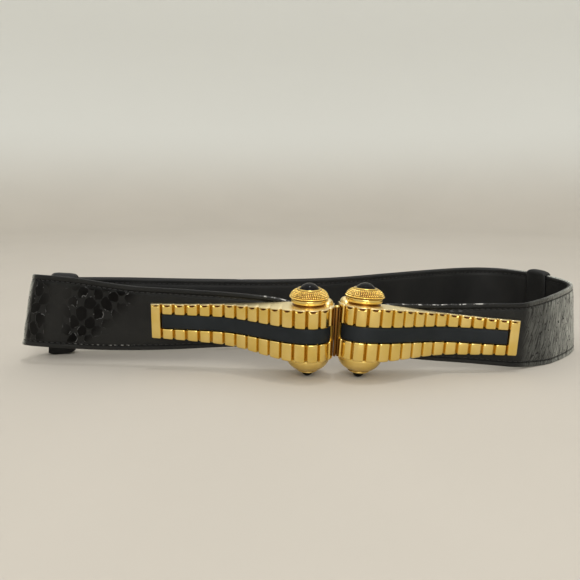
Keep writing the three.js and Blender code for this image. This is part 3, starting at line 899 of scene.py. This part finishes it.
def clasp_section(distance, groove, crown, scoop, at_seam=False):
    """One section right round the half: place, how much painted shade it takes and how satin it is
    (rougher, and paler as a painted highlight).
    """
    spot, out = on_face(distance)
    back = arm_set_back + arm_thickness
    top = float(half_height(max(spot.x, 0)))
    face = groove * rib_relief - crown
    # Painted shade: dark red-brown on the seam lips, and on the deeper parts of each groove.
    shade = 0.75 if distance < seam_lip else max(0.0, groove - 0.3) * 0.75
    in_channel = seam_lip < distance < FACE_LENGTH
    curve = rib_end_curve * groove
    channel = inlay_height / 2 + clearance
    floor = channel_floor if in_channel else face
    rail_round = rail_edge_round if in_channel else 0.0
    points = []

    def front(depth, height, painted_shade_share=shade, satin=0.0):
        if at_seam:
            points.append((-drum_radius, max(depth, 0), height, painted_shade_share, satin))
        else:
            place = spot - out * depth
            points.append((place.x, place.y, height, painted_shade_share, satin))

    def rear(depth, height, satin=0.0):
        points.append((spot.x, depth, height, 0, satin))

    def rounded(radius, height, way, order):
        """End of a rib: from its face back over a quarter round, towards way."""
        radius = min(radius, channel_floor - 0.1 - face)
        for angle in order:
            turn = math.radians(angle)
            front(face + radius * (1 - math.cos(turn)), height - way * radius * (1 - math.sin(turn)))

    rear(back, -top + rim_round)
    rear(back - rim_round, -top)
    rounded(rib_end_round, -top + curve, -1, (90, 67, 45, 22, 0))
    front(face, -(top + channel) / 2)
    rounded(rail_round, -channel - curve * in_channel, 1, (0, 22, 45, 67, 90))
    # Painted shade on the floor of the inlay's channel.
    for height in (-channel + 0.06, -channel * 0.4, channel * 0.4, channel - 0.06):
        front(floor, height, 0.5 if in_channel else shade)
    rounded(rail_round, channel + curve * in_channel, -1, (90, 67, 45, 22, 0))
    under = top - plate_height
    cut = scoop * rib_scoop
    front(face, (under + channel) / 2)
    for below, share, dark in SCOOP_ROWS:
        shadow = max(shade, min(1.0, scoop * dark))
        front(face + cut * share, under - below, shadow)
    lip = face * (1 - 0.3 * groove)
    front(lip + 0.1 + cut * 0.7, under, shadow)
    front(lip + 0.02, under + 0.06, shade * 0.5)
    # Satin rows up to the top: rougher, and paler as a painted highlight of the light from above.
    front(lip, under + 0.15, shade * 0.5, 0.5)
    front(lip, top - 0.16, shade * 0.3, 1)
    front(lip + 0.06, top - 0.05, 0, 1)
    front(lip + 0.2, top, 0, 1)
    rear(back - rim_round, top, 1)
    rear(back, top - rim_round, 1)
    hollow = top - cast_wall
    depth = pocket_floor(spot.x)
    rear(back, hollow)
    rear(depth, hollow - 0.2)
    rear(depth, 0)
    rear(depth, -hollow + 0.2)
    rear(back, -hollow)
    points.append(points[0])
    return points


def make_half_body():
    """The half's cast body from the seam to the end bar, in one wrapped skin."""
    sections = [clasp_section(0.0, 0, 0.0, 0, at_seam=True)]
    sections += [clasp_section(*column) for column in rib_columns()]
    table = np.array(sections)
    # The groove mark carries the painted shade; the satin mark the rougher top, paler as a painted
    # highlight.
    return wrapped("half_body", table[..., :3], groove=table[..., 3], satin=table[..., 4])


def make_shoulder():
    """Rounded rise of the top plate between the knob and the seam."""
    bpy.ops.mesh.primitive_uv_sphere_add(segments=32, ring_count=16, radius=1)
    shoulder = active("shoulder")
    shoulder.data.transform(Matrix.Diagonal((*shoulder_size, 1)))
    shoulder.data.transform(Matrix.Translation(shoulder_place))
    # Satin mark: rougher and paler, the paler colour a painted highlight.
    return marked(shoulder, "satin", lambda place: 0.7)


# Rows of beads on a knob: distance from the axis, height, size of a bead
BEAD_ROWS = (
    (9.2, 5.15, bead_radius), (8.8, 5.9, bead_radius), (8.22, 6.55, bead_radius), (7.5, 7.1, bead_radius),
    (6.7, 7.45, bead_radius), (9.78, 4.3, rim_bead_radius),
)

# Dark creases of a knob: from one height to another, how deep in shadow
KNOB_CREASES = ((-1, 0.7, 0.85), (3.45, 3.85, 0.85), (4.65, 7.75, 0.92))

# Turned outlines: radius, height above the drum's plate or, for the bowl, depth below it
KNOB_OUTLINE = (
    (0, -0.4), (8.4, -0.4), (8.4, 0.25), (8.25, 0.42), (7.9, 0.5), (7.8, 0.62), (7.95, 0.8), (8.55, 1.15),
    (9.0, 1.6), (9.25, 2.15), (9.32, 2.75), (9.22, 3.2), (9.0, 3.5), (8.75, 3.6), (8.7, 3.7), (8.95, 3.82),
    (9.35, 3.9), (9.65, 4.0), (9.78, 4.2), (9.7, 4.45), (9.5, 4.6), (9.3, 4.7), (9.25, 5.1), (8.95, 5.65),
    (8.4, 6.3), (7.8, 6.8), (7.15, 7.2), (6.6, 7.42), (6.3, 7.5), (6.1, 7.52), (6.0, 7.68), (6.12, 7.85),
    (6.18, 8.08), (6.12, 8.3), (5.95, 8.45), (5.7, knob_height),
)
BOWL_OUTLINE = (
    (0, -0.4), (11.25, -0.4), (11.3, 0.2), (bowl_radius, 0.45), (11.3, 1.0), (11.0, 1.8), (10.55, 2.8),
    (9.9, 3.8), (9.0, 4.8), (7.9, 5.7), (6.9, 6.3), (6.1, 6.65), (5.65, 6.8), (5.45, 6.9), (5.42, 7.02),
    (5.6, 7.12), (5.65, 7.3), (5.5, 7.48), (5.1, 7.6), (4.75, 7.68), (4.65, 7.8), (4.6, 8.0),
)


def make_knob():
    """Turban knob: smooth swelling neck, milled rim, beaded dome and a plain ring round the stone."""
    root = drum_height / 2
    seat = knob_height - stone_seat
    ring = top_stone_radius + clearance
    outline = [*KNOB_OUTLINE, (ring + 0.25, 8.45), (ring + 0.05, 8.25), (ring, seat), (0, seat)]
    knob = turned("knob", [(radius, root + height) for radius, height in outline], 120)

    def shade_at(place):
        return max(dark if low < place.z - root < high else 0 for low, high, dark in KNOB_CREASES)

    marked(knob, "groove", shade_at)
    parts = [knob, make_shoulder()]
    for radius, height, size in BEAD_ROWS:
        count = round(math.tau * radius / (size * bead_pitch))
        first = Matrix.Translation((radius, 0, root + height))
        places = []
        for i in range(count):
            bead = first @ Matrix.Scale(size * chance.uniform(0.75, 1.08), 4)
            places.append(Matrix.Rotation(math.tau * i / count, 4, "Z") @ bead)
        bpy.ops.mesh.primitive_ico_sphere_add(subdivisions=2, radius=1)
        parts.append(repeated("beads", active("bead"), places))
    return joined("knob", *parts)


def make_bowl():
    """Smooth bowl with a thin ring and the small bezel."""
    root = drum_height / 2
    bore = bottom_stone_radius + clearance
    bezel = bore + bezel_wall
    seat = bowl_depth - stone_seat
    outline = [
        *BOWL_OUTLINE, (bezel, 8.2), (bezel - 0.25, bowl_depth), (bezel - 0.7, bowl_depth), (bore, 8.2),
        (bore, seat), (0, seat),
    ]
    bowl = turned("bowl", [(radius, -root - depth) for radius, depth in outline])
    # Painted shade: a dark band in the crease near the bowl's bezel.
    return marked(bowl, "groove", lambda place: 0.85 if 6.75 < -place.z - root < 7.1 else 0.0)


def make_stone(name, radius, rim, rise, way):
    """Domed cabochon in its seat, standing up (1) or hanging (-1)."""
    foot = rim - stone_seat + clearance
    outline = [(0, foot), (radius, foot), (radius, rim - 0.05)]
    ball = (radius * radius + rise * rise) / (2 * rise)
    reach = math.asin(radius / ball)
    for i in range(13, 0, -1):
        angle = i / 14 * reach
        outline.append((ball * math.sin(angle), rim + rise - ball * (1 - math.cos(angle))))
    outline.append((0, rim + rise))
    return turned(name, [(r, height * way) for r, height in outline], 64)


# Section of the inlay from its foot to its middle: depth below its face, distance in from its edge
INLAY_EDGE = ((inlay_thickness, 0), (0.25, 0), (0.07, 0.08), (0, 0.3), (-0.05, 1.85))
INLAY_SHAPE = (
    *((depth, inset - inlay_height / 2) for depth, inset in INLAY_EDGE), (-0.07, 0),
    *((depth, inlay_height / 2 - inset) for depth, inset in reversed(INLAY_EDGE)),
)


def make_inlay(name):
    """Strip let in between the rails, with a slight crown."""
    sections = []
    for distance in np.linspace(inlay_start, FACE_LENGTH - clearance, 110):
        spot, out = on_face(distance)
        section = []
        for depth, height in INLAY_SHAPE:
            place = spot - out * (depth + inlay_recess)
            section.append((place.x, place.y, height))
        section.append(section[0])
        sections.append(section)
    return wrapped(name, np.array(sections))


def vertices_of(node):
    """The places of a frame node's vertices, in millimetres."""
    return np.array([v.co[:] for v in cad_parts[node].data.vertices]) / MM


def half_place(side):
    """Matrix from a half's own measures to the frame, read from its stones and the end of its arm."""
    top = Vector(vertices_of(f"stone_top_{side}").mean(axis=0))
    bottom = Vector(vertices_of(f"stone_bottom_{side}").mean(axis=0))
    upward = (top - bottom).normalized()
    body = vertices_of(f"clasp_{side}")
    away = np.linalg.norm(body[:, :2] - np.array(bottom)[:2], axis=1)
    end = Vector(np.unique(body[away > away.max() - 4].round(3), axis=0).mean(axis=0))
    centre = top + upward * (end - top).dot(upward)
    reach = (end - centre).normalized()
    beside = upward.cross(reach) if side == "right" else reach.cross(upward)
    end_depth = (arm_set_back * 2 + arm_thickness - frame_rib_crown) / 2
    angle = math.atan2(end_depth, arm_length)
    u_way = reach * math.cos(angle) - beside * math.sin(angle)
    v_way = reach * math.sin(angle) + beside * math.cos(angle)
    turn = Matrix((u_way, v_way, upward)).transposed().to_4x4()
    return Matrix.Translation(centre) @ turn


def make_half(side, place, gold, satin, slate, onyx):
    """One half of the clasp with its knob, bowl, inlay and two stones."""
    body = settled(make_half_body(), gold, [f"clasp_{side}"], place, 38)
    body.name = f"clasp_body_{side}"
    knob = settled(make_knob(), gold, (), place, 50)
    knob.name = f"knob_{side}"
    bowl = settled(make_bowl(), satin, (), place, 50)
    bowl.name = f"bowl_{side}"
    settled(make_inlay(f"inlay_strip_{side}"), slate, [f"inlay_{side}"], place, 50)
    for end, radius, reach, rise, way in (
            ("top", top_stone_radius, knob_height, top_stone_rise, 1),
            ("bottom", bottom_stone_radius, bowl_depth, bottom_stone_drop, -1)):
        stone = make_stone(f"cabochon_{end}_{side}", radius, drum_height / 2 + reach, rise, way)
        settled(stone, onyx, [f"stone_{end}_{side}"], place, 60)


# Rods of the catch at the seam: across, depth, radius, top above the middle
CATCH_RODS = ((-1.35, -4.9, 0.42, 12.9), (-0.1, -5.1, 0.72, 13.3), (1.3, -4.9, 0.42, 12.9))
catch_foot = 1.2 - drum_height / 2
catch_lump_size = (1.35, 1.1, 0.75)
catch_lump_place = (-0.1, -4.8, 13.3)


def make_catch(left, right, material):
    """Slim upright rods between the halves, with a small lump on top."""
    sides = [place @ Vector((-drum_radius, 0, 0)) for place in (left, right)]
    upward = (left.col[2].xyz + right.col[2].xyz).normalized()
    across = right.col[0].xyz - left.col[0].xyz
    across = (across - upward * across.dot(upward)).normalized()
    turn = Matrix((across, upward.cross(across), upward)).transposed().to_4x4()
    place = Matrix.Translation((sides[0] + sides[1]) / 2) @ turn
    parts = []
    for shift, depth, radius, top in CATCH_RODS:
        outline = [(0, catch_foot), (radius * 0.7, catch_foot + 0.05), (radius, catch_foot + 0.4),
                   (radius, top - 0.4), (radius * 0.7, top - 0.05), (0, top)]
        rod = turned("rod", outline, 20)
        rod.data.transform(Matrix.Translation((shift, depth, 0)))
        # Painted shade: the rods, set back between the halves, are coloured as in shadow.
        parts.append(marked(rod, "groove", lambda spot: 0.85))
    bpy.ops.mesh.primitive_uv_sphere_add(segments=20, ring_count=12, radius=1)
    lump = active("lump")
    lump.data.transform(Matrix.Diagonal((*catch_lump_size, 1)))
    lump.data.transform(Matrix.Translation(catch_lump_place))
    piece = joined("catch_rods", *parts, lump)
    settled(piece, material, ["clasp_hook"], place, 50)


# Setting


def make_setting():
    """A pale cloth under a soft sky, with a small lamp overhead and a broad one in front."""
    sweep = [(0, 0), (floor_radius, 0)]
    for i in range(1, 13):
        turn = i / 12 * math.pi / 2
        sweep.append((floor_radius + cove_radius * math.sin(turn), cove_radius * (1 - math.cos(turn))))
    sweep.append((floor_radius + cove_radius, wall_height))
    cloth = turned("cloth", sweep)
    cloth.data.transform(Matrix.Scale(MM, 4))
    finish = Finish("pale cloth", specular_ior_level=0.1)
    cloud = finish.noise(7.0, 4.0)
    rise = finish.split(finish.place())[2].step(0.0, 0.25)
    low = finish.mixed(cloud.step(0.3, 0.7), (0.5, 0.463, 0.405, 1), (0.515, 0.477, 0.418, 1))
    finish.feed("Base Color", finish.mixed(rise, low, (0.68, 0.68, 0.64, 1)))
    finish.feed("Roughness", 0.7 + cloud * 0.1)
    cloth.data.materials.append(finish.material)
    for face in cloth.data.polygons:
        face.use_smooth = True

    world = bpy.data.worlds.new("soft sky")
    bpy.context.scene.world = world
    world.use_nodes = True
    sky = world.node_tree.nodes["Background"]
    sky.inputs["Color"].default_value = (1, 0.99, 0.97, 1)
    sky.inputs["Strength"].default_value = sky_strength

    for name, spot, size, energy in LAMPS:
        data = bpy.data.lights.new(name, "AREA")
        data.size = size
        data.energy = energy
        lamp = bpy.data.objects.new(name, data)
        lamp.location = spot
        lamp.rotation_euler = (Vector(LAMP_TARGET) - lamp.location).to_track_quat("-Z", "Y").to_euler()
        bpy.context.scene.collection.objects.link(lamp)


def make_camera():
    """The view of the photograph, from a little above the belt."""
    data = bpy.data.cameras.new("camera")
    data.sensor_width = sensor_width
    data.lens = camera_lens
    data.clip_start = 0.01
    camera = bpy.data.objects.new("camera", data)
    camera.location = camera_place
    camera.rotation_euler = (math.radians(90 - camera_drop), 0, 0)
    bpy.context.scene.collection.objects.link(camera)
    bpy.context.scene.camera = camera
    bpy.context.scene.view_settings.view_transform = "Standard"


make_camera()
make_setting()

skin_band = Band("strap")
lining_band = Band("strap_lining")
skin = skin_finish(skin_band.length, skin_band.width)
lining = lining_finish()
gold = gold_finish("polished gold plate", 0.13, 0.000012)
satin = gold_finish("satin gold plate", 0.3, 0.00002)
slate = slate_finish()
onyx = onyx_finish()

make_skin(skin_band, skin)
make_lining(lining_band, lining)
make_stitches(skin_band, lining_band, thread_finish())
for keeper, keeper_slant in KEEPER_SLANTS:
    make_keeper(keeper, skin_band, keeper_slant, lining)
left_place = half_place("left")
right_place = half_place("right")
make_half("left", left_place, gold, satin, slate, onyx)
make_half("right", right_place, gold, satin, slate, onyx)
make_catch(left_place, right_place, gold)
